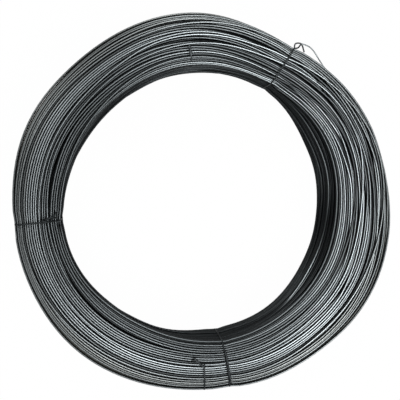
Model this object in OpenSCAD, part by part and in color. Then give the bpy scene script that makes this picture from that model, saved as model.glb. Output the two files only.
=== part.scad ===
// Coil of black annealed tie wire, lying flat on a floor.
// Hundreds of turns of one round wire are held in a ring by short ties of the same wire.
// Three ties girdle the whole ring, and two short ones each hold a bunch of its upper turns.
// The coil's axis is Z, and its lowest turns rest on z = 0.

/* [Wire] */
// Diameter of the coiled wire
wire_d = 1.65; // [1.2:0.05:2.5]
// Diameter of the tie wire
tie_d = 1.1; // [0.8:0.05:2]

/* [Coil] */
// Outside diameter over the turns
coil_od = 288; // [260:1:380]
// Diameter of the eye
eye_d = 203; // [140:1:215]
// Height of the coil as it lies
coil_h = 58; // [44:1:80]
// Roundness of the edge between the eye and the upper end
eye_top_r = 20; // [8:1:24]
// Roundness of the edge between the upper end and the outside
outside_top_r = 20; // [10:1:24]
// Roundness of the edge between the outside and the floor
outside_floor_r = 18; // [8:1:22]
// Roundness of the edge between the floor and the eye
eye_floor_r = 18; // [6:1:22]

/* [Ties] */
// Direction of the upper right tie, counted from +X
right_tie_angle = 60; // [55:1:75]
// Direction of the left tie, counted from +X
left_tie_angle = 186; // [170:1:200]
// Direction of the bottom tie, counted from +X
bottom_tie_angle = 278; // [276:1:300]
// Direction of the short tie at the top, counted from +X
short_top_angle = 96; // [85:1:110]
// Direction of the short tie at the bottom, counted from +X
short_bottom_angle = 269; // [255:1:270]
// How far a tie has pulled in below the turns beside it
tie_sink = 0.3; // [0.2:0.05:0.6]
// Gap between a tie and the turns that it holds
tie_gap = 0.25; // [0.1:0.05:0.5]
// Width of the bunch of turns under the short tie at the top
top_bunch_w = 13; // [10:1:20]
// Width of the bunch of turns under the short tie at the bottom
bottom_bunch_w = 34; // [24:1:36]
// Depth of the bunch of turns in a short tie
bunch_depth = 12; // [8:1:16]

/* [Twisted ends] */
// Number of times that the two ends of the bottom tie are twisted round each other
long_twist_turns = 4; // [2:0.5:5]
// Number of times that the two ends of every other tie are twisted
short_twist_turns = 1.5; // [1:0.5:3]
// Length along the twist in which its wires go once round
twist_pitch = 5; // [4:0.5:8]
// Length of the cut ends beyond the twist
tail_length = 4; // [2:0.5:8]
// Share of its length by which each cut end spreads sideways
tail_spread = 0.35; // [0.2:0.05:0.6]
// Radius in which the twist is bent down towards the coil
fold_r = 2; // [1.5:0.5:5]
// Angle through which a twist that lies along the ring is bent down
fold_angle = 84; // [40:1:86]

/* [Loose end] */
// Direction in which the upper right tie's loose end leaves the turns, counted from +X
loose_end_angle = 45; // [40:1:48]
// How far the loose end bows out from the turns
loose_end_bow = 5; // [2:0.5:8]

/* [Hidden] */
wire_colour = [0.13, 0.14, 0.15];
tie_colour = [0.10, 0.105, 0.11];

// A turn's exposed side is half of an octagon: a flat crest between two slopes.
crest_share = tan(22.5);
groove_share = (1 - crest_share) / 2;
// Sides of a tie's round section, chord of its loop, and points to one turn of its twist
wire_sides = 6;
loop_step = 4;
twist_steps = 8;
bunch_steps = 36;
lead_steps = 4;

eye_r = eye_d / 2;
outer_r = coil_od / 2;
ring_w = outer_r - eye_r;
// An edge's radius is limited by half of the ring's width and height.
edge_limit = 0.48 * min(ring_w, coil_h);
edges = [for (r = [eye_top_r, outside_top_r, outside_floor_r, eye_floor_r]) min(r, edge_limit)];

// The ring's section as an outline of four round edges, clockwise from the top of the eye's wall.
// Each edge is its centre, its radius and the direction of its normal where it starts.
corners = [
    [[eye_r + edges[0], coil_h - edges[0]], edges[0], 180],
    [[outer_r - edges[1], coil_h - edges[1]], edges[1], 90],
    [[outer_r - edges[2], edges[2]], edges[2], 0],
    [[eye_r + edges[3], edges[3]], edges[3], -90],
];
// The straight run that follows each edge: upper end, outside, floor and the eye's wall
runs = [
    ring_w - edges[0] - edges[1],
    coil_h - edges[1] - edges[2],
    ring_w - edges[2] - edges[3],
    coil_h - edges[3] - edges[0],
];
quarter = [for (r = edges) r * PI / 2];
// Length along the outline up to the start of each edge, and all the way round
start = [for (k = 0, s = 0; k <= 4; s = s + (k < 4 ? quarter[k] + runs[k] : 0), k = k + 1) s];
girth = start[4];
wound_girth = girth - runs[3];
turn_count = floor(wound_girth / wire_d);
turn_pitch = wound_girth / turn_count;

// Places along the outline: the middle of a knot, and the middle of a short tie's bunch
upper_end = quarter[0];
left_knot = upper_end + 0.65 * runs[0];
bottom_knot = 0.72 * quarter[0];
right_knot = start[1] + 0.75 * quarter[1];
top_bunch = [0.58 * quarter[0], top_bunch_w];
bottom_bunch = [start[1] + 0.3 * quarter[1], bottom_bunch_w];

// Centre line of a tie below the crests, and half the width of the channel that it has pressed
tie_line = -(tie_d / 2 + tie_sink);
channel = tie_d / 2 + tie_gap;
clear_above = 2 * tie_d;
// Half the distance between the two wires of a twist, which just clear each other
twist_r = tie_d / 2 + 0.05;
knot_clear = 1.6 * tie_d;
knot_rise = 0.6 * tie_d;
// A short tie's loop lies on the turns, and not among them, where its sine is above this.
on_top = 0.85;
// Power of a short tie's rounded oblong: 1 is an ellipse, and less is squarer.
bunch_squareness = 0.7;

function unit(v) = v / norm(v);
function wrapped(s) = s - girth * floor(s / girth);
function edge_before(s) = s < start[1] ? 0 : s < start[2] ? 1 : s < start[3] ? 2 : 3;

// Outward normal of the outline at a length s along it
function normal_at(s) =
    let (w = wrapped(s), k = edge_before(w), angle = corners[k][2] - 90 * min((w - start[k]) / quarter[k], 1))
    [cos(angle), sin(angle)];

// Point at a length s along the outline, moved out by an offset, as [radius, height]
function outline_at(s, out = 0) =
    let (w = wrapped(s), k = edge_before(w), past = max(w - start[k] - quarter[k], 0), n = normal_at(s))
    corners[k][0] + (corners[k][1] + out) * n + past * [n.y, -n.x];

// The turns seen in section: a crest for each one, with a groove between it and the one before.
turns_outline = [
    outline_at(-runs[3]),
    outline_at(0),
    for (i = [0:turn_count - 1]) each [
        if (i > 0) outline_at(i * turn_pitch, -groove_share * wire_d),
        outline_at((i + 0.5 - crest_share / 2) * turn_pitch),
        outline_at((i + 0.5 + crest_share / 2) * turn_pitch),
    ],
];

// Loop round the whole section, from a place past the knot to the same distance before it
function girdle(knot, out, clear = 0) =
    let (length = girth - 2 * clear, steps = ceil(length / loop_step))
    [for (i = [0:steps - (clear > 0 ? 0 : 1)]) outline_at(knot + clear + length * i / steps, out)];

// Loop round a bunch of turns: a rounded oblong whose upper side follows the outline,
// and whose lower side is straight
function squared(x) = sign(x) * pow(abs(x), bunch_squareness);
function bunch_at(bunch, angle) =
    let (
        across = squared(cos(angle)) * bunch[1] / 2,
        share = (1 - squared(sin(angle))) / 2,
        low = outline_at(bunch[0] - bunch[1] / 2),
        high = outline_at(bunch[0] + bunch[1] / 2),
        straight = (low + high) / 2 + across / bunch[1] * (high - low)
    )
    (1 - share) * outline_at(bunch[0] + across) + share * straight
        + (tie_line - bunch_depth * share) * normal_at(bunch[0]);
function bunch_loop(bunch, clear) =
    [for (i = [0:bunch_steps]) bunch_at(bunch, 90 - clear - (360 - 2 * clear) * i / bunch_steps)];

// Edge of a short tie's channel: its loop moved sideways, and above the turns where it lies on them
function bunch_edge(bunch, side, above) =
    [for (i = [0:bunch_steps - 1])
        let (
            angle = 90 - 360 * i / bunch_steps,
            ahead = unit(bunch_at(bunch, angle - 1) - bunch_at(bunch, angle + 1))
        )
        bunch_at(bunch, angle) + (sin(angle) > on_top ? above : side) * [-ahead.y, ahead.x]];

// A point or direction of the section, carried to the plane in which a tie lies
function in_plane(p, angle) = [p.x * cos(angle), p.x * sin(angle), p.y];

// Direction round the coil, clockwise as seen from above
function clockwise(angle) = [sin(angle), -cos(angle), 0];

// One wire of a twist that stands on its knot and is bent down; side is 1 or -1.
// A way of 1 or -1 bends it along the tie, where it follows the outline, and 0 bends it sideways along the ring.
function twisted(knot, angle, way, turns, side) =
    let (
        n = normal_at(knot),
        up = in_plane(n, angle),
        along = in_plane([n.y, -n.x], angle),
        fold = way == 0 ? clockwise(angle) : way * along,
        across = cross(up, fold),
        first = atan2(cross(up, across) * along, across * along)
    )
    [for (i = [0:turns * twist_steps])
        let (
            length = twist_pitch * i / twist_steps,
            bend = min(length / fold_r * 180 / PI, way == 0 ? fold_angle : 90),
            past = length - bend * fold_r * PI / 180,
            over = fold_r * (1 - cos(bend)) + past * sin(bend),
            rise = knot_rise + fold_r * sin(bend) + past * cos(bend),
            m = normal_at(knot + way * over),
            lie = way == 0 ? fold : way * in_plane([m.y, -m.x], angle),
            axis = cos(bend) * in_plane(m, angle) + sin(bend) * lie,
            turn = first + 360 * i / twist_steps
        )
        in_plane(outline_at(knot + way * over, rise), angle) + (way == 0 ? over * fold : [0, 0, 0])
            + side * twist_r * (cos(turn) * across + sin(turn) * cross(axis, across))
    ];

function bezier(a, b, c, d, u) = pow(1 - u, 3) * a + 3 * u * pow(1 - u, 2) * b + 3 * u * u * (1 - u) * c + pow(u, 3) * d;

// The bend by which a loop's end rises out of its channel into the twist
function lead(from, heading, to, up) =
    let (reach = 0.5 * norm(to - from))
    [for (i = [1:lead_steps - 1]) bezier(from, from + reach * heading, to - reach * up, to, i / lead_steps)];

function reversed(list) = [for (i = [len(list) - 1:-1:0]) list[i]];
function last(list) = list[len(list) - 1];
// A cut end goes on along its twist and spreads a little towards its own side.
function tail(strand, other) =
    let (end = last(strand), axis = end - strand[len(strand) - 1 - twist_steps])
    end + tail_length * unit(unit(axis) + tail_spread * unit(end - last(other)));

// Centre line of one tie: a cut end, its twist, the loop, and the twist and cut end of its other side
function tie_path(loop, knot, angle, way, turns) =
    let (
        points = [for (p = loop) in_plane(p, angle)],
        n = normal_at(knot),
        up = in_plane(n, angle),
        along = in_plane([n.y, -n.x], angle),
        ahead = twisted(knot, angle, way, turns, 1),
        behind = twisted(knot, angle, way, turns, -1)
    )
    [
        tail(ahead, behind),
        each reversed(ahead),
        each reversed(lead(points[0], -along, ahead[0], up)),
        each points,
        each lead(last(points), along, behind[0], up),
        each behind,
        tail(behind, ahead),
    ];

// A round wire swept along a path, with its rings carried along it without twisting
module wire_along(path, d) {
    count = len(path);
    ahead = [for (i = [0:count - 1]) unit(path[min(i + 1, count - 1)] - path[max(i - 1, 0)])];
    first = unit(cross(ahead[0], abs(ahead[0].z) < 0.9 ? [0, 0, 1] : [1, 0, 0]));
    sideways = [for (i = 0, v = first; i < count; i = i + 1, v = i < count ? unit(v - (v * ahead[i]) * ahead[i]) : v) v];
    points = [for (i = [0:count - 1], k = [0:wire_sides - 1])
        let (turn = 360 * k / wire_sides)
        path[i] + d / 2 * (cos(turn) * sideways[i] + sin(turn) * cross(ahead[i], sideways[i]))];
    walls = [for (i = [0:count - 2], k = [0:wire_sides - 1])
        let (a = i * wire_sides + k, b = i * wire_sides + (k + 1) % wire_sides)
        each [[a, a + wire_sides, b], [b, a + wire_sides, b + wire_sides]]];
    near_end = [for (k = [1:wire_sides - 2]) [0, k, k + 1]];
    far = (count - 1) * wire_sides;
    far_end = [for (k = [1:wire_sides - 2]) [far, far + k + 1, far + k]];
    polyhedron(points, concat(walls, near_end, far_end));
}

// The channel that a tie has pressed into the turns, between an outer and an inner loop
module pressed_channel(outer, inner, angle) {
    rotate([90, 0, angle]) linear_extrude(2 * channel, center = true) difference() {
        polygon(outer);
        polygon(inner);
    }
}

module girdle_channel(angle) {
    pressed_channel(girdle(0, clear_above), girdle(0, tie_line - channel), angle);
}

module bunch_channel(bunch, angle) {
    pressed_channel(bunch_edge(bunch, channel, clear_above), bunch_edge(bunch, -channel, -channel), angle);
}

module wire_coil() {
    color(wire_colour) difference() {
        rotate_extrude($fn = 180) polygon(turns_outline);
        for (angle = [right_tie_angle, left_tie_angle, bottom_tie_angle]) girdle_channel(angle);
        bunch_channel(top_bunch, short_top_angle);
        bunch_channel(bottom_bunch, short_bottom_angle);
    }
}

module girdling_tie(knot, angle, way, turns) {
    loop = girdle(knot, tie_line, knot_clear);
    color(tie_colour) wire_along(tie_path(loop, knot, angle, way, turns), tie_d);
}

module short_tie(bunch, angle, way) {
    loop = bunch_loop(bunch, asin(pow(2 * knot_clear / bunch[1], 1 / bunch_squareness)));
    color(tie_colour) wire_along(tie_path(loop, bunch[0], angle, way, short_twist_turns), tie_d);
}

module tie_upper_right() {
    girdling_tie(right_knot, right_tie_angle, 0, short_twist_turns);
}

module tie_left() {
    girdling_tie(left_knot, left_tie_angle, -1, short_twist_turns);
}

module tie_bottom() {
    girdling_tie(bottom_knot, bottom_tie_angle, 1, long_twist_turns);
}

module short_tie_top() {
    short_tie(top_bunch, short_top_angle, 1);
}

module short_tie_bottom() {
    short_tie(bottom_bunch, short_bottom_angle, 0);
}

// The upper right tie's long end springs out of its knot, bows out and comes back to the turns.
module loose_end() {
    steps = 20;
    root = 4;
    below_knot = right_knot + 3 * tie_d;
    end_angle = right_tie_angle - 1;
    gap = tie_d / 2 + tie_gap;
    path = [for (i = [0:steps])
        let (
            share = max(i - root, 0) / (steps - root),
            angle = loose_end_angle + (end_angle - loose_end_angle) * i / steps
        )
        in_plane(outline_at(below_knot, gap + loose_end_bow * pow(sin(150 * share), 2)), angle)];
    color(tie_colour) wire_along(path, tie_d);
}

wire_coil();
tie_upper_right();
tie_left();
tie_bottom();
short_tie_top();
short_tie_bottom();
loose_end();
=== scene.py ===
import bpy
import numpy as np
from mathutils import Matrix, Vector


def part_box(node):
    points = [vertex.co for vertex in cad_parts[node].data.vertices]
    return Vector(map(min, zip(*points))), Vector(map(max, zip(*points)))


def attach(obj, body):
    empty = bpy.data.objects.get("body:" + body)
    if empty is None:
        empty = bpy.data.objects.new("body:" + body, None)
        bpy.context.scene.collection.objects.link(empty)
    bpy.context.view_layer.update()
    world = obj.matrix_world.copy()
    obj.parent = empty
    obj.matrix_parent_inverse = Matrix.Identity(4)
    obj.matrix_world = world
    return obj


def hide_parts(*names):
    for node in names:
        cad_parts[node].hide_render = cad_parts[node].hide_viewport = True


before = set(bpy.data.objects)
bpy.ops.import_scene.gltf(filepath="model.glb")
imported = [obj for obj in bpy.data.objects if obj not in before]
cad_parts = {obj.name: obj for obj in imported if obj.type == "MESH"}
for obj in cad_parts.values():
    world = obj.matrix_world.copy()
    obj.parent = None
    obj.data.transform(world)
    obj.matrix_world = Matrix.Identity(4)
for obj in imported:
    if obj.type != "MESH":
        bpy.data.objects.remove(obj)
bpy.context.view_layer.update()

# Lay of the coiled wire
# One black annealed steel wire, wound shell over shell on a drum, slipped off it and tied.
# Its turns lie close at the left tie. On the right they spring apart into bunches, with deep gaps between.
wire_d = 0.00165
wire_r = wire_d / 2
coil_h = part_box("wire_coil")[1].z
coil_centre = np.array([0.005, 0.0])
seam_angle = 187.5
stations = 126
ring_angle = seam_angle + 360 * np.arange(stations) / stations

# Reach of the ring at even steps of angle from +X: its outside, its eye at the upper end and on the floor,
# its height, and how loosely its turns lie
outside_reach = 1e-3 * np.array([
    136.8, 136.1, 135.4, 134.6, 132.9, 135.4, 140.5, 141.9, 141.1, 140.9, 144.2, 144.9,
    143.3, 144, 144.4, 145.8, 143.9, 141.1, 139.2, 140.4, 139.4, 140.7, 142.9, 140.7])
eye_top_reach = 1e-3 * np.array([
    97.5, 101.4, 100, 101.7, 102.4, 104.4, 109.8, 109.1, 102.3, 103.4, 100.6, 98.3])
eye_floor_reach = 1e-3 * np.array([
    93, 95.7, 95.2, 100.7, 105, 107.2, 105.1, 104.8, 104.4, 105.8, 106.8, 110,
    114.7, 117.5, 116.6, 112.5, 110.2, 109.3, 103.5, 103.1, 102.3, 98.5, 94.5, 93.9])
upper_reach = 1e-3 * np.array([56, 56, 54, 57, 58, 58, 57, 58, 58, 56, 57, 56])
looseness = np.array([1.0, 1.1, 0.9, 0.68, 0.4, 0.3, 0.25, 0.26, 0.28, 0.32, 0.36, 0.54])


def around(values, angle):
    """Smooth closed curve through values at even steps of a turn: their Fourier series at the angle."""
    terms = np.fft.rfft(values) / len(values)
    order = np.arange(len(terms))
    weight = np.where((order == 0) | (2 * order == len(values)), 1.0, 2.0)
    return (weight * terms * np.exp(1j * order * np.radians(angle)[..., None])).real.sum(-1)


squareness = 6


def section_point(turn, half_w, half_h):
    """Point on a rounded section, at an angle from the middle of its floor side over its eye side: minus
    the sine and minus the cosine, each to the power 2 / squareness with its sign kept, times the half
    sizes."""
    power = 2 / squareness
    across = -np.sign(np.sin(turn)) * np.abs(np.sin(turn)) ** power
    up = -np.sign(np.cos(turn)) * np.abs(np.cos(turn)) ** power
    return half_w * across, half_h * up


def wander(count, cell, seed):
    """Smooth random line of a count of points: random values a cell apart, joined and averaged twice."""
    draws = np.random.default_rng(seed).normal(size=count // cell + 3)
    line = np.interp(np.arange(count) / cell, np.arange(len(draws)), draws)
    box = np.ones(cell) / cell
    padded = np.pad(line, 2 * cell, mode="edge")
    return np.convolve(np.convolve(padded, box, "same"), box, "same")[2 * cell:-2 * cell]


# The wire runs shell by shell from the core out. Its last turns come up inside the outer shell on the
# outside, and lie loosely on the upper side
shell_count = 12
shell_step = 0.93 * wire_d
turn_steps = wire_d * np.array([1.0, 1.08, 1.08] + 9 * [1.06])
last_turns = 7
last_reach = [1.0, 0.66, 0.34]
last_under, last_over = 0.70, 0.62
half_w = 0.0180
half_h = coil_h / 2 - wire_r
outline_turn = np.linspace(0, 2 * np.pi, 1500)
share_rows, shell_rows, girth_rows = [], [], []
turned = np.arange(stations) / stations
for shell in range(shell_count - 1, -2, -1):
    depth = shell * shell_step
    girth = np.hypot(*np.diff(section_point(outline_turn, half_w - depth, half_h - depth))).sum()
    count = last_turns if shell < 0 else int(girth / turn_steps[shell])
    laid = np.arange(count)[:, None] + turned
    share = np.interp(laid, [0, 1, last_turns], last_reach) if shell < 0 else laid / count
    share_rows.append(share)
    shell_rows.append(np.full(count, shell))
    girth_rows.append(girth)
shell_of = np.concatenate(shell_rows)
share = np.concatenate(share_rows)
turn_count = len(shell_of)

# Gaps where the upper turns have parted: from and to (degrees from +X), place round the section at both
# ends (a share of the way from the middle of the floor side over the eye side), and width
gaps = np.array([
    [28, 118, 0.486, 0.496, 0.0023],
    [150, 256, 0.449, 0.434, 0.0028],
    [296, 344, 0.556, 0.567, 0.0024],
    [94, 140, 0.571, 0.589, 0.0020],
    [-60, 20, 0.539, 0.524, 0.0018],
    [-45, 50, 0.471, 0.463, 0.0018],
    [80, 150, 0.456, 0.452, 0.0014],
    [230, 300, 0.486, 0.481, 0.0006],
    [0, 82, 0.563, 0.539, 0.0019],
    [-30, 44, 0.595, 0.564, 0.0022],
    [2, 66, 0.439, 0.461, 0.0018],
])
small_gaps = 70
draw = np.random.default_rng(5)
small_middle = draw.uniform(0, 360, small_gaps)
small_half = draw.uniform(18, 70, small_gaps)
small_place = draw.uniform(0, 1, small_gaps)
small_width = draw.uniform(0.0003, 0.0013, small_gaps) * around(looseness, small_middle)
gaps = np.concatenate([gaps, np.stack([
    small_middle - small_half, small_middle + small_half, small_place, small_place, small_width], -1)])
gap_fade = 14
gap_edge = 0.3 * wire_d
gap_pull = 0.006


def parting(share, angle, girth):
    """Slip of the turns away from each gap: half its width beside it, times the exponential of minus the
    square of the distance over the pull, and fading to nothing at the gap's two ends."""
    slip = np.zeros_like(share)
    for start, end, place_a, place_b, width in gaps:
        past = (angle - (start + end) / 2 + 180) % 360 - 180
        half = (end - start) / 2
        ends = np.clip((half - np.abs(past)) / gap_fade, 0, 1)
        place = place_a + (place_b - place_a) * np.clip(past / half / 2 + 0.5, 0, 1)
        off = ((share - place + 0.5) % 1 - 0.5) * girth
        slip = slip + width / 2 * ends * np.tanh(off / gap_edge) * np.exp(-(off / gap_pull) ** 2)
    return slip


# Ledges and grooves along the turns: from and to (degrees), place and half width as shares, height, and
# added painted light: painted shade that darkens the groove, and a painted highlight on the ledge and bands
swells = np.array([
    [-62, 62, 0.347, 0.020, -0.0030, -0.8],
    [-58, 58, 0.287, 0.010, 0.0024, 25.0],
    [88, 168, 0.526, 0.014, 0.0008, 0.3],
    [290, 340, 0.520, 0.030, 0.0010, 0.2],
])
swell_fade = 20


def relief(share, angle, across, along, count, seed):
    """Even random relief over all turns: cosine waves with whole numbers of crests round the section and
    round the ring, added up and divided by the root of their count."""
    draw = np.random.default_rng(seed)
    crests = draw.integers(6, across, count)
    lengths = draw.integers(-along, along + 1, count)
    phase = draw.uniform(0, 2 * np.pi, count)
    total = np.zeros_like(share)
    for k in range(count):
        total = total + np.cos(2 * np.pi * crests[k] * share + lengths[k] * np.radians(angle) + phase[k])
    return total / np.sqrt(count)


# The three long ties press the turns in under them
right_angle, left_angle, bottom_angle = 62.2, 185.7, 275.3
long_tie_angles = np.array([right_angle, left_angle, bottom_angle])
tie_press = 0.0010
press_spread = 7
past_ties = (ring_angle - long_tie_angles[:, None] + 180) % 360 - 180
pressed = tie_press * np.exp(-(past_ties / press_spread) ** 2).sum(0)

outside = around(outside_reach, ring_angle) - wire_r
eye_top = around(eye_top_reach, ring_angle) + wire_r
eye_floor = around(eye_floor_reach, ring_angle) + wire_r
upper = around(upper_reach, ring_angle)
ring_half = (outside - (eye_top + eye_floor) / 2) / 2


def lay_angle(share, depth):
    """Angle round the section at shares of its girth, with the section's outline measured off along its
    length at each station, so that the turns lie evenly where the ring is wide and where it is narrow."""
    angle = np.empty_like(share)
    for k in range(stations):
        outline = section_point(outline_turn, ring_half[k] * (1 - depth / half_w), half_h - depth)
        length = np.concatenate([[0], np.hypot(*np.diff(outline)).cumsum()])
        angle[:, k] = np.interp(share[:, k], length / length[-1], outline_turn)
    return angle


# Each turn drifts along the section and lifts off it, most where the ring is loose
loose = around(looseness, ring_angle)
lift_share, relief_share = 0.3, 0.2
parted_shells = 4
drift = wander(turn_count * stations, cell=17, seed=3).reshape(turn_count, stations)
lift = wander(turn_count * stations, cell=13, seed=4).reshape(turn_count, stations)
drift_base = np.interp(shell_of, [-1, 0, 1], [1.2, 0.12, 0.3])[:, None]
drift_loose = np.interp(shell_of, [-1, 0, 1], [4.4, 0.95, 0.5])[:, None]
drift_reach = (drift_base + drift_loose * loose ** 2) * wire_d
across = np.empty_like(share)
up = np.empty_like(share)
swell_shade_and_highlight = np.ones_like(share)
first_turn = 0
for row, girth in zip(share_rows, girth_rows):
    own = slice(first_turn, first_turn + len(row))
    shell = shell_of[first_turn]
    outer = max(1 - max(shell, 0) / parted_shells, 0)
    slip = drift[own] * drift_reach[own]
    bumps = relief(row, ring_angle, across=40, along=5, count=20, seed=8)
    bumps = lift_share * lift[own] + relief_share * bumps
    raised = loose * bumps * wire_d - pressed
    if outer > 0:
        slip = slip + outer * parting(row, ring_angle, girth)
        for start, end, place, half, height, added_light in swells:
            past = (ring_angle - (start + end) / 2 + 180) % 360 - 180
            ends = np.clip(((end - start) / 2 - np.abs(past)) / swell_fade, 0, 1)
            swell = outer * ends * np.exp(-((row - place) / half) ** 2)
            raised = raised + height * swell
            # Painted shade in the groove and a painted highlight on the ledge and bands
            swell_shade_and_highlight[own] = swell_shade_and_highlight[own] + added_light * swell
    moved = (row + slip / girth) % 1
    share[own] = moved
    layer = np.interp(row, [last_over, last_under], [-1, 1]) if shell < 0 else shell
    depth = layer * shell_step - raised
    turn = lay_angle(moved, shell * shell_step)
    across[own], up[own] = section_point(turn, half_w - depth, half_h - depth)
    first_turn += len(row)
across = across / half_w
up = up / half_h

eye = eye_floor + (eye_top - eye_floor) * (up + 1) / 2
home_r = (outside + eye) / 2 + (outside - eye) / 2 * across
home_z = upper / 2 + (upper / 2 - wire_r) * up


def neighbours(place):
    """Pairs of turns that lie within one and a half diameters of each other, station by station."""
    first, second = [], []
    steps = place.shape[1]
    for k in range(steps):
        x, y = place[:, k].T.astype(np.float32)
        near = (x[:, None] - x) ** 2 + (y[:, None] - y) ** 2 < (1.5 * wire_d) ** 2
        i, j = np.nonzero(np.triu(near, 1))
        first.append(i * steps + k)
        second.append(j * steps + k)
    return np.concatenate(first), np.concatenate(second)


def settle(home, rounds=48, renew=12, push_share=0.45, straighten=0.15, homing=0.02):
    """Pushes turns that lie in each other apart, station by station: both of a pair nearer than a wire's
    diameter move back by a share of what is missing. Each wire is then straightened towards the mean of
    its neighbouring points and drawn to its place, and nothing goes below the floor."""
    flat = home.reshape(-1, 2).copy()
    for step in range(rounds):
        if step % renew == 0:
            first, second = neighbours(flat.reshape(home.shape))
        apart = flat[first] - flat[second]
        gap = np.hypot(apart[:, 0], apart[:, 1]) + 1e-9
        push = np.maximum(wire_d - gap, 0)[:, None] / gap[:, None] * apart * push_share
        moved = [np.bincount(first, push[:, c], len(flat)) - np.bincount(second, push[:, c], len(flat))
                 for c in (0, 1)]
        flat = flat + np.stack(moved, -1)
        ends = np.pad(flat, ((1, 1), (0, 0)), mode="edge")
        flat = flat + straighten * (ends[:-2] + ends[2:] - 2 * flat)
        flat = flat + homing * (home.reshape(-1, 2) - flat)
        flat[:, 1] = np.maximum(flat[:, 1], wire_r)
    return flat


line = settle(np.stack([home_r, home_z], -1))
out_dir = np.stack([np.sign(across) * across ** 2 / half_w, np.sign(up) * up ** 2 / half_h], -1)
out_dir = out_dir.reshape(-1, 2)
out_dir = out_dir / np.linalg.norm(out_dir, axis=-1, keepdims=True)

# Each long tie bites into the outer shells, so it lies level with the turns beside it, and the turns on the
# floor pass over it
tie_r = 0.00055
tie_bite = 0.0009
bite_spread = 2.5
bitten_shells = 5
over_spread = 4
over_full = 1.15
bite = np.interp(shell_of, [0, bitten_shells], [1, 0])[:, None] * tie_bite
bite = bite * np.exp(-(past_ties / bite_spread) ** 2).sum(0)
line = line - bite.reshape(-1, 1) * out_dir
over_tie = 2 * tie_r * np.minimum(over_full * np.exp(-(past_ties / over_spread) ** 2), 1).sum(0)
line[:, 1] = np.maximum(line[:, 1], wire_r + np.tile(over_tie, turn_count))

# How far each stretch of wire lies open: little where other turns lie outside it. It darkens covered wire as
# painted shade
cover_from, cover_full = 0.25, 0.8
first, second = neighbours(line.reshape(turn_count, stations, 2))
apart = line[second] - line[first]
apart = apart / (np.linalg.norm(apart, axis=-1, keepdims=True) + 1e-9)
over_first = np.maximum((apart * out_dir[first]).sum(-1) - cover_from, 0)
over_second = np.maximum((-apart * out_dir[second]).sum(-1) - cover_from, 0)
cover = np.bincount(first, over_first, len(line)) + np.bincount(second, over_second, len(line))
cover = np.convolve(cover, np.ones(5) / 5, "same")
open_share = np.clip(1 - cover / cover_full, 0, 1)

# Painted light and wear: a painted highlight on the open upper turns, most on the loose last turns; painted
# shade on covered turns, deeper shells and the eye side; the outside's brown tint is a painted floor
# reflection
highlight_most, shade_under_cover = 0.72, 0.22
last_turn_sheen = 0.35
shell_points = np.repeat(shell_of, stations)
share_points = share.ravel()
shade_by_shell = np.interp(shell_points, [0, 1, 2], [1.02, 0.5, 0.2])
shade_by_shell = shade_by_shell + last_turn_sheen * (shell_points < 0) * np.tile(loose, turn_count)
light_by_side = np.interp(
    share_points,
    [0, 0.1, 0.3, 0.37, 0.43, 0.48, 0.57, 0.62, 1],
    [0.3, 0.2, 0.14, 0.42, 0.75, 1, 1.05, 0.85, 0.3])
# Painted light and shade by angle round the ring: on the eye side, the outside, the eye wall and the outer
# rim
eye_light_round = np.array([1.05, 1.1, 0.5, 0.6, 0.47, 0.33, 0.47, 0.78, 0.86, 0.64, 0.86, 1.05])
outside_light_round = np.array([1.05, 1.6, 1.15, 0.95, 0.45, 0.62, 0.85, 1.25, 1.1, 0.68, 1.0, 1.25])
point_angle = np.tile(ring_angle, turn_count)
towards_outside = np.clip(0.5 + 0.8 * across.ravel(), 0, 1)
light_round = (1 - towards_outside) * around(eye_light_round, point_angle)
light_round = light_round + towards_outside * around(outside_light_round, point_angle)
wall = np.interp(share_points, [0, 0.06, 0.14, 0.33, 0.40, 1], [0, 0, 1, 1, 0, 0])
wall_light_round = np.array([0.1, 0.3, 0.3, 1.1, 0.9, 0.9, 1.0, 1.4, 1.8, 0.8, 0.7, 0.3])
light_round = light_round * (1 + wall * (around(wall_light_round, point_angle) - 1))
rim = np.interp(share_points, [0, 0.575, 0.61, 0.9, 1], [0, 0, 1, 1, 0])
rim_light_round = np.array([1.35, 1.4, 1.5, 1.6, 0.75, 0.75, 0.7, 0.75, 0.5, 0.75, 0.9, 1.3])
light_round = light_round * (1 + rim * (around(rim_light_round, point_angle) - 1))
tone_reach = 0.15 + np.tile(loose, turn_count) ** 2
tone = np.exp(tone_reach * wander(turn_count * stations, cell=40, seed=21) - 0.1 * tone_reach ** 2)
painted_light_and_wear = highlight_most * (shade_under_cover + (1 - shade_under_cover) * open_share)
painted_light_and_wear = np.clip(painted_light_and_wear * shade_by_shell * light_by_side * light_round * tone * swell_shade_and_highlight.ravel(), 0, 1)
# Brown tint on the outer turns, varying round the ring: a painted reflection of the floor
floor_reflection_round = np.array([0.3, 0.2, 0.3, 0.5, 0.8, 0.9, 0.6, 0.7, 0.9, 0.7, 0.8, 0.7])
floor_reflection_tint = np.interp(share_points, [0, 0.53, 0.6, 0.66, 0.9, 1], [0.1, 0, 0.5, 0.9, 0.9, 0.1])
floor_reflection_tint = floor_reflection_tint * around(floor_reflection_round, point_angle)
floor_reflection_tint = np.clip(floor_reflection_tint * (0.85 + 0.5 * wander(turn_count * stations, cell=50, seed=22)), 0, 1)

turned_by = np.radians(point_angle)[:, None]
xy = coil_centre + line[:, :1] * np.concatenate([np.cos(turned_by), np.sin(turned_by)], -1)
centre_line = np.concatenate([xy, line[:, 1:]], -1)


def rings(path, radius, sides, facing):
    """Rings of points round a wire's centre line: the level direction across the line and the direction
    square to both, times the cosine and the sine of each side's angle, from the facing angle on."""
    ahead = np.gradient(path, axis=0)
    ahead = ahead / np.linalg.norm(ahead, axis=-1, keepdims=True)
    level = np.cross(ahead, [0.0, 0.0, 1.0])
    level = level / np.linalg.norm(level, axis=-1, keepdims=True)
    above = np.cross(level, ahead)
    turn = (facing[:, None] + 2 * np.pi * np.arange(sides) / sides)[..., None]
    return path[:, None] + radius * (np.cos(turn) * level[:, None] + np.sin(turn) * above[:, None])


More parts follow.
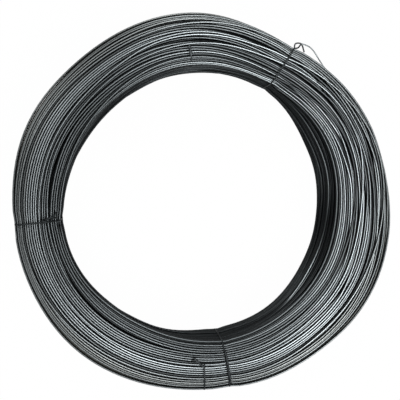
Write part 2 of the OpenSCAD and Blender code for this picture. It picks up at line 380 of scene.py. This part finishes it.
def wire_piece(name, ring, drawn, values, material):
    """One piece of round wire: faces between each drawn ring and the next, and an end face where a run of
    drawn rings starts or stops. The values are one number for each point, kept as named attributes."""
    sides = ring.shape[1]
    drawn = drawn & (np.arange(len(ring)) < len(ring) - 1)
    starts = np.nonzero(drawn & ~np.concatenate([[False], drawn[:-1]]))[0]
    stops = np.nonzero(drawn & ~np.concatenate([drawn[1:], [False]]))[0] + 1
    used = drawn | np.concatenate([[False], drawn[:-1]])
    number = np.cumsum(used) - 1
    side = np.arange(sides)
    near = number[np.nonzero(drawn)[0]][:, None] * sides
    a, b = near + side, near + np.roll(side, -1)
    walls = np.stack([a, a + sides, b + sides, b], -1).reshape(-1)
    first_caps = number[starts][:, None] * sides + side
    last_caps = number[stops][:, None] * sides + side[::-1]
    caps = np.concatenate([first_caps, last_caps])
    corners = np.concatenate([walls, caps.ravel()]).astype(np.int32)
    sizes = np.concatenate([np.full(len(walls) // 4, 4), np.full(len(caps), sides)])
    mesh = bpy.data.meshes.new(name)
    mesh.vertices.add(int(used.sum()) * sides)
    mesh.vertices.foreach_set("co", ring[used].astype(np.float32).ravel())
    mesh.loops.add(len(corners))
    mesh.loops.foreach_set("vertex_index", corners)
    mesh.polygons.add(len(sizes))
    mesh.polygons.foreach_set("loop_start", (np.cumsum(sizes) - sizes).astype(np.int32))
    mesh.polygons.foreach_set("use_smooth", sizes == 4)
    for label, numbers in values.items():
        layer = mesh.attributes.new(label, "FLOAT", "POINT")
        layer.data.foreach_set("value", numbers[used].astype(np.float32).ravel())
    mesh.update(calc_edges=True)
    mesh.materials.append(material)
    piece = bpy.data.objects.new(name, mesh)
    bpy.context.scene.collection.objects.link(piece)
    return piece


# Surface of the wire: black scale, mixed to steel in a narrow painted highlight, under a brown painted floor
# reflection
painted_light_surface = bpy.data.node_groups.new("painted_light_wire_surface", "ShaderNodeTree")
for label, kind in (("Scale", "Color"), ("Steel", "Color"), ("Floor Reflection", "Color"), ("Highlight Power", "Float")):
    painted_light_surface.interface.new_socket(label, in_out="INPUT", socket_type="NodeSocket" + kind)
for label, kind in (("Color", "Color"), ("Roughness", "Float")):
    painted_light_surface.interface.new_socket(label, in_out="OUTPUT", socket_type="NodeSocket" + kind)
nodes, links = painted_light_surface.nodes, painted_light_surface.links
given = nodes.new("NodeGroupInput")
result = nodes.new("NodeGroupOutput")
read = {}
for label in ("painted_light_and_wear", "crest", "floor_reflection_tint"):
    read[label] = nodes.new("ShaderNodeAttribute")
    read[label].attribute_name = label
narrow = nodes.new("ShaderNodeMath")
narrow.operation = "POWER"
links.new(read["crest"].outputs["Fac"], narrow.inputs[0])
links.new(given.outputs["Highlight Power"], narrow.inputs[1])
painted_highlight = nodes.new("ShaderNodeMath")
painted_highlight.operation = "MULTIPLY"
links.new(narrow.outputs[0], painted_highlight.inputs[0])
links.new(read["painted_light_and_wear"].outputs["Fac"], painted_highlight.inputs[1])
highlighted = nodes.new("ShaderNodeMix")
highlighted.data_type = "RGBA"
links.new(painted_highlight.outputs[0], highlighted.inputs["Factor"])
links.new(given.outputs["Scale"], highlighted.inputs["A"])
links.new(given.outputs["Steel"], highlighted.inputs["B"])
reflected = nodes.new("ShaderNodeMix")
reflected.data_type = "RGBA"
reflected.blend_type = "MULTIPLY"
links.new(read["floor_reflection_tint"].outputs["Fac"], reflected.inputs["Factor"])
links.new(highlighted.outputs["Result"], reflected.inputs["A"])
links.new(given.outputs["Floor Reflection"], reflected.inputs["B"])
links.new(reflected.outputs["Result"], result.inputs["Color"])
rough = nodes.new("ShaderNodeMapRange")
rough.inputs["To Min"].default_value = 0.5
rough.inputs["To Max"].default_value = 0.3
links.new(painted_highlight.outputs[0], rough.inputs["Value"])
links.new(rough.outputs["Result"], result.inputs["Roughness"])


def wire_material(name):
    """Material of black annealed steel wire: a dark metal with the surface group's colour, painted light and
    roughness.
    """
    material = bpy.data.materials.new(name)
    material.use_nodes = True
    nodes, links = material.node_tree.nodes, material.node_tree.links
    surface = nodes.new("ShaderNodeGroup")
    surface.node_tree = painted_light_surface
    surface.inputs["Scale"].default_value = (0.0135, 0.0155, 0.0165, 1)
    surface.inputs["Steel"].default_value = (0.605, 0.668, 0.692, 1)
    surface.inputs["Floor Reflection"].default_value = (0.98, 0.84, 0.66, 1)
    surface.inputs["Highlight Power"].default_value = 1.7
    shader = nodes["Principled BSDF"]
    shader.inputs["Metallic"].default_value = 0.9
    shader.inputs["Specular Tint"].default_value = (0.5, 0.5, 0.5, 1)
    links.new(surface.outputs["Color"], shader.inputs["Base Color"])
    links.new(surface.outputs["Roughness"], shader.inputs["Roughness"])
    return material


wire = wire_material("black_annealed_wire")

# Pieces of the coiled wire: the hidden core, and the outer shells by the side of the ring that they lie on.
# The painted highlight line of each turn is on its open side, raised to the top, and at the upper right a
# little towards the eye
core_turn = shell_of > 2
crest_rise, crest_lean = 1.6, 0.30
highlight_lean_turn = 17
looks_up = out_dir[:, 1] > -0.3
facing = np.arctan2(out_dir[:, 1] + crest_rise * looks_up, out_dir[:, 0])
highlight_lean_share = np.maximum(np.sin(np.radians(point_angle + highlight_lean_turn)), 0) * np.clip(0.7 + across.ravel(), 0, 1)
facing = facing + crest_lean * highlight_lean_share * looks_up


def crest(sides):
    """Painted highlight round a wire: the eighth power of the cosine of the angle from its crest, and none on
    the back.
    """
    return np.maximum(np.cos(2 * np.pi * np.arange(sides) / sides), 0) ** 8


fine_sides, core_sides = 8, 5
fine = rings(centre_line, wire_r, fine_sides, facing)
side_angle = np.degrees(np.arctan2(up.mean(1), across.mean(1)))
sides_of_ring = {
    "upper_turns": (side_angle > 45) & (side_angle <= 135),
    "outside_turns": np.abs(side_angle) <= 45,
    "floor_turns": (side_angle < -45) & (side_angle >= -135),
    "eye_turns": np.abs(side_angle) > 135,
}
values = {
    "painted_light_and_wear": np.repeat(painted_light_and_wear[:, None], fine_sides, 1),
    "crest": np.repeat(crest(fine_sides)[None], len(painted_light_and_wear), 0),
    "floor_reflection_tint": np.repeat(floor_reflection_tint[:, None], fine_sides, 1),
}
last_station = 82
last_point = (turn_count - 1) * stations + last_station
wound = np.arange(turn_count * stations) < last_point
coil_pieces = [
    wire_piece(name, fine, np.repeat(chosen & ~core_turn, stations) & wound, values, wire)
    for name, chosen in sides_of_ring.items()
]
core_keep = 4
core_points = slice(None, None, core_keep)
coarse = rings(centre_line[core_points], wire_r, core_sides, facing[core_points])
core_values = {label: np.zeros(coarse.shape[:2]) for label in values}
core_drawn = np.repeat(core_turn, stations)[core_points]
coil_pieces.append(wire_piece("core_turns", coarse, core_drawn, core_values, wire))
for piece in coil_pieces:
    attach(piece, "root")
    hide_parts("wire_coil")

# Ties
# Five short lengths of thinner black steel wire. Three go round the whole ring and two round a bunch of its
# upper turns. Each is drawn tight, its ends are twisted or hooked together and bent down on the turns.
section = line.reshape(turn_count, stations, 2)
middle_r = 0.124
tie_sunk = 0.0009
axis_steps = 48


def section_at(angle):
    """The turns' places in the section at an angle of the ring, between the two stations beside it."""
    step = (angle - seam_angle) % 360 / 360 * stations
    k = int(step)
    after = section[:, k + 1] if k + 1 < stations else np.roll(section[:, 0], -1, axis=0)
    return section[:, k] + (step - k) * (after - section[:, k])


def wrap(turns, direction, clear, sunk=0.0):
    """Tight wrap round turns in one section: in each direction the farthest turn, plus a clear distance,
    less the sunk depth times the square of the direction's cosine, at the eye and the outside."""
    out = np.stack([np.cos(direction), np.sin(direction)], -1)
    return turns[(turns @ out.T).argmax(0)] + (clear - sunk * out[:, :1] ** 2) * out


def lying(turns, start_r, end_r, lift):
    """Axis of a twist that lies on the turns: the upper wrap between two radii, with a lift above it."""
    upper = wrap(turns, np.radians(np.linspace(175, 5, 341)), wire_r + lift)
    radius = np.linspace(start_r, end_r, axis_steps)
    return np.stack([radius, np.interp(radius, upper[:, 0], upper[:, 1])], -1)


def in_ring(angle, skew, place, aside):
    """Points of a tie in space: out along the ring's radius, up, and aside along the ring, with a skewed
    tie's share of the distance from the middle of the ring's width added aside."""
    turn = np.radians(angle)
    radial = np.array([np.cos(turn), np.sin(turn), 0])
    along = np.array([-np.sin(turn), np.cos(turn), 0])
    aside = aside + skew * (place[:, 0] - middle_r)
    centre = np.append(coil_centre, 0)
    return centre + place[:, :1] * radial + place[:, 1:] * [0, 0, 1] + aside[:, None] * along


def even(path, sides, spacing=0.0005, soft=4):
    """A path and its side directions at an even spacing, with its corners softened by a moving mean."""
    length = np.concatenate([[0], np.linalg.norm(np.diff(path, axis=0), axis=1).cumsum()])
    at = np.linspace(0, length[-1], int(length[-1] / spacing))
    both = np.stack([np.interp(at, length, c) for c in np.concatenate([path, sides], -1).T], -1)
    padded = np.pad(both, ((soft, soft), (0, 0)), mode="edge")
    window = np.ones(2 * soft + 1) / (2 * soft + 1)
    both = np.stack([np.convolve(c, window, "valid") for c in padded.T], -1)
    return both[:, :3], both[:, 3:]


def tied(angle, skew, turns, root, axis, aside, twists, open_r, tail_a, tail_b):
    """Centre line and side directions of a tie: a tight wrap from the direction of its root all round and
    back, whose two ends run along the axis as a double helix and then go on straight as its tails."""
    turn = np.radians(angle)
    along = np.array([-np.sin(turn), np.cos(turn), 0])
    frame_in = np.array([[np.cos(turn), np.sin(turn), 0], along, [0, 0, 1]])
    direction = np.radians(root + np.linspace(5, 355, 351))
    loop = in_ring(angle, skew, wrap(turns, direction, wire_r + tie_r, tie_sunk), np.zeros(len(direction)))
    spine = in_ring(angle, skew, axis, aside)
    ahead = np.gradient(spine, axis=0)
    ahead = ahead / np.linalg.norm(ahead, axis=1, keepdims=True)
    side = along - (ahead @ along)[:, None] * ahead
    side = side / np.linalg.norm(side, axis=1, keepdims=True)
    phase = 2 * np.pi * twists * np.linspace(0, 1, len(spine))[:, None]
    helix = np.cos(phase) * side + np.sin(phase) * np.cross(ahead, side)
    run = np.linspace(0.1, 1, 10)[:, None]
    end_a = spine[-1] + open_r * helix[-1] + run * (np.array(tail_a) @ frame_in)
    end_b = spine[-1] - open_r * helix[-1] + run * (np.array(tail_b) @ frame_in)
    strand_a, strand_b = spine + open_r * helix, spine - open_r * helix
    path = np.concatenate([end_a[::-1], strand_a[::-1], loop, strand_b, end_b])
    ends = np.repeat(helix[-1:], len(run), axis=0)
    sides = np.concatenate([ends, helix[::-1], np.repeat(along[None], len(loop), axis=0), helix, ends])
    return even(path, sides)


def rings_on(path, sides_dir, radius, sides):
    """Rings of points round a path: its side direction, squared to the path, and the direction square to
    both, times the cosine and the sine of each side's angle."""
    ahead = np.gradient(path, axis=0)
    ahead = ahead / np.linalg.norm(ahead, axis=-1, keepdims=True)
    side = sides_dir - (sides_dir * ahead).sum(-1, keepdims=True) * ahead
    side = side / np.linalg.norm(side, axis=-1, keepdims=True)
    above = np.cross(side, ahead)
    turn = (2 * np.pi * np.arange(sides) / sides)[:, None]
    return path[:, None] + radius * (np.cos(turn) * side[:, None] + np.sin(turn) * above[:, None])


def bunch(turns, low, high, depth):
    """The turns of a bunch: those between two radii, not deeper than a depth under the highest of them."""
    beside = turns[(turns[:, 0] > low) & (turns[:, 0] < high)]
    return beside[beside[:, 1] > beside[:, 1].max() - depth]


tie_wire = wire_material("dull_tie_wire")
twist_r = tie_r + 0.00003
twist_lift = 3.2 * tie_r
tie_sides = 10
right_skew = -0.088
top_angle, low_angle = 98.4, 267.2
right_turns = section_at(right_angle)
left_turns = section_at(left_angle)
bottom_turns = section_at(bottom_angle)
top_bunch = bunch(section_at(top_angle), 0.1060, 0.1165, 0.010)
low_bunch = bunch(section_at(low_angle), 0.1190, 0.1480, 0.022)
right_root = wrap(right_turns, np.radians([40.0]), wire_r + tie_r)[0]


def through(points, steps):
    """Smooth curve through points: between each two, a cubic with the slopes of the points' gradient."""
    points = np.array(points)
    slope = np.gradient(points, axis=0)
    at = np.linspace(0, len(points) - 1, steps)
    k = np.minimum(at.astype(int), len(points) - 2)
    t = (at - k)[:, None]
    return ((1 + 2 * t) * (1 - t) ** 2 * points[k] + t * (1 - t) ** 2 * slope[k]
            + t ** 2 * (3 - 2 * t) * points[k + 1] + t ** 2 * (t - 1) * slope[k + 1])


def off_root(points, steps):
    """Curve in space through points given from the upper right tie's root: out, aside and up."""
    curve = through(points, steps)
    return in_ring(right_angle, right_skew, right_root + curve[:, [0, 2]], curve[:, 1])


# The upper right tie's ends aren't twisted: one stands out and turns over as a loop,
# and the other hooks through it
right_wrap = np.radians(44 + np.linspace(0, 352, 353))
right_loop = wrap(right_turns, right_wrap, wire_r + tie_r, tie_sunk)
right_loop = in_ring(right_angle, right_skew, right_loop, np.zeros(len(right_wrap)))
right_upper = off_root([(0.0003, 0.0003, 0.0008), (0.0013, 0.0012, 0.0013), (0.0025, 0.0014, 0.0015),
                        (0.0039, 0.0000, 0.0015), (0.0048, -0.0022, 0.0013)], 40)
right_hook = off_root([(0.0004, -0.0010, -0.0006), (0.0010, -0.0022, 0.0002), (0.0022, -0.0024, 0.0012),
                       (0.0037, -0.0022, 0.0026), (0.0038, -0.0036, 0.0022), (0.0026, -0.0056, 0.0008),
                       (0.0006, -0.0082, -0.0002)], 60)
right_path = np.concatenate([right_upper[::-1], right_loop, right_hook])
right_side = np.array([-np.sin(np.radians(right_angle)), np.cos(np.radians(right_angle)), 0.3])
tie_lines = {
    "tie_upper_right": even(right_path, np.repeat(right_side[None], len(right_path), axis=0), soft=2),
    "tie_left": tied(
        left_angle, 0.0, left_turns, 96, lying(left_turns, 0.1240, 0.1135, twist_lift),
        np.linspace(-0.0004, -0.0030, axis_steps), 1.5, 0.0009,
        (-0.001, -0.0028, 0.0012), (-0.0022, 0.0005, 0.0)),
    "tie_bottom": tied(
        bottom_angle, 0.07, bottom_turns, 104, lying(bottom_turns, 0.1085, 0.1325, twist_lift),
        np.linspace(0.0004, 0.0008, axis_steps), 3.5, twist_r,
        (0.002, 0.0012, 0), (0.0016, -0.0014, 0.0004)),
    "short_tie_top": tied(
        top_angle, 0.0, top_bunch, 100, lying(top_bunch, 0.1120, 0.1162, twist_lift),
        np.linspace(0, 0.0003, axis_steps), 0.75, twist_r,
        (0.0014, 0.0002, 0.0006), (-0.0006, 0.0012, 0.0)),
    "short_tie_bottom": tied(
        low_angle, 0.08, low_bunch, 100, lying(bottom_turns, 0.1210, 0.1150, twist_lift),
        np.linspace(0, -0.0070, axis_steps), 1.5, twist_r,
        (0, -0.0026, 0.0002), (-0.001, -0.0012, 0.0004)),
}
tie_top_lightness = {
    "tie_upper_right": 0.06, "tie_left": 0.03, "tie_bottom": 0.05, "short_tie_top": 0.13,
    "short_tie_bottom": 0.06,
}
lighter_from, lighter_over = 0.036, 0.012
for name, (path, sides_dir) in tie_lines.items():
    ring = rings_on(path, sides_dir, tie_r, tie_sides)
    # The ties turn lighter steel towards their tops, above a height
    steel_lightness = tie_top_lightness[name] * np.clip((ring[:, :, 2] - lighter_from) / lighter_over, 0, 1)
    tie_values = {"painted_light_and_wear": steel_lightness, "crest": np.ones_like(steel_lightness), "floor_reflection_tint": np.zeros_like(steel_lightness)}
    piece = wire_piece(name + "_wire", ring, np.ones(len(ring), bool), tie_values, tie_wire)
    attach(piece, "root")
    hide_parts(name)

# Loose end
# The long end of the upper right tie, of the same black wire: it springs out of the loop, bows away from the
# turns and comes back to them further down the outside, where it lies along the ring.
end_r = 0.00045
end_sunk = 0.0004
end_rubbed = 0.40
end_out = off_root([(0.0045, -0.0012, 0.0014), (0.0060, -0.0086, 0.0010), (0.0050, -0.0134, 0.0002),
                    (0.0031, -0.0184, -0.0010), (0.0008, -0.0228, -0.0024)], 60)
tuck_angles = np.array([50.0, 47.5, 45.0])
tuck_sides = np.radians([14.0, 6.0, -2.0])
end_tucks = [
    in_ring(angle, 0.0, wrap(section_at(angle), np.array([side]), wire_r, end_sunk), np.zeros(1))
    for angle, side in zip(tuck_angles, tuck_sides)
]
end_path = through(np.concatenate([end_out[::12], *end_tucks]), 90)
end_path, end_sides = even(end_path, np.repeat([[0.0, 0.0, 1.0]], len(end_path), axis=0))
ring = rings_on(end_path, end_sides, end_r, tie_sides)
steel_lightness = np.full(ring.shape[:2], end_rubbed)
end_values = {"painted_light_and_wear": steel_lightness, "crest": np.ones_like(steel_lightness), "floor_reflection_tint": np.zeros_like(steel_lightness)}
piece = wire_piece("loose_end_wire", ring, np.ones(len(ring), bool), end_values, tie_wire)
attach(piece, "root")
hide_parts("loose_end")

# Floor, light and camera
# A level white floor and two soft lamps over the coil, seen from above and a little from the left.
floor_half = 3.0
floor_mesh = bpy.data.meshes.new("floor")
floor_mesh.from_pydata([(x, y, 0) for x, y in floor_half * np.array([[-1, -1], [1, -1], [1, 1], [-1, 1]])],
                       [], [(0, 1, 2, 3)])
floor = bpy.data.objects.new("floor", floor_mesh)
bpy.context.scene.collection.objects.link(floor)
white = bpy.data.materials.new("white_floor")
white.use_nodes = True
nodes, links = white.node_tree.nodes, white.node_tree.links
nodes.remove(nodes["Principled BSDF"])
diffuse = nodes.new("ShaderNodeBsdfDiffuse")
diffuse.inputs["Color"].default_value = (0.8, 0.8, 0.8, 1)
glow = nodes.new("ShaderNodeEmission")
glow.inputs["Strength"].default_value = 1.0
path = nodes.new("ShaderNodeLightPath")
mirrored = nodes.new("ShaderNodeMath")
mirrored.operation = "MAXIMUM"
shown = nodes.new("ShaderNodeMath")
shown.operation = "MAXIMUM"
glow_share = nodes.new("ShaderNodeMath")
glow_share.operation = "MULTIPLY"
glow_share.inputs[1].default_value = 0.985
mix = nodes.new("ShaderNodeMixShader")
links.new(path.outputs["Is Glossy Ray"], mirrored.inputs[0])
links.new(path.outputs["Is Transmission Ray"], mirrored.inputs[1])
links.new(path.outputs["Is Camera Ray"], shown.inputs[0])
links.new(mirrored.outputs[0], shown.inputs[1])
links.new(shown.outputs[0], glow_share.inputs[0])
links.new(glow_share.outputs[0], mix.inputs["Fac"])
links.new(diffuse.outputs["BSDF"], mix.inputs[1])
links.new(glow.outputs["Emission"], mix.inputs[2])
links.new(mix.outputs["Shader"], nodes["Material Output"].inputs["Surface"])
floor_mesh.materials.append(white)

world = bpy.data.worlds.new("studio")
world.use_nodes = True
world.node_tree.nodes["Background"].inputs["Color"].default_value = (1, 1, 1, 1)
world.node_tree.nodes["Background"].inputs["Strength"].default_value = 0.16
bpy.context.scene.world = world


def aimed(place, target):
    """Turn and place of a lamp or camera that looks from a place to a target, with +Y up in its picture."""
    ahead = (target - place).normalized()
    right = ahead.cross(Vector((0, 1, 0))).normalized()
    turn = Matrix((right, right.cross(ahead), -ahead)).transposed()
    return Matrix.Translation(place) @ turn.to_4x4()


for name, place, watts in (("softbox", (0.22, -0.38, 0.9), 10), ("fill", (-0.3, 0.5, 0.75), 5)):
    lamp = bpy.data.lights.new(name, "AREA")
    lamp.energy = watts
    lamp.size = 0.8
    light = bpy.data.objects.new(name, lamp)
    light.matrix_world = aimed(Vector(place), Vector((0, 0, 0.03)))
    bpy.context.scene.collection.objects.link(light)

camera_data = bpy.data.cameras.new("camera")
camera_data.sensor_width = 36
focal_px, picture_px = 595, 400
camera_data.lens = focal_px / picture_px * camera_data.sensor_width
camera = bpy.data.objects.new("camera", camera_data)
camera.matrix_world = aimed(Vector((-0.055, 0.02, 0.49)), Vector((-0.00059, 0.00212, 0.025)))
bpy.context.scene.collection.objects.link(camera)
bpy.context.scene.camera = camera
bpy.context.scene.view_settings.view_transform = "Standard"
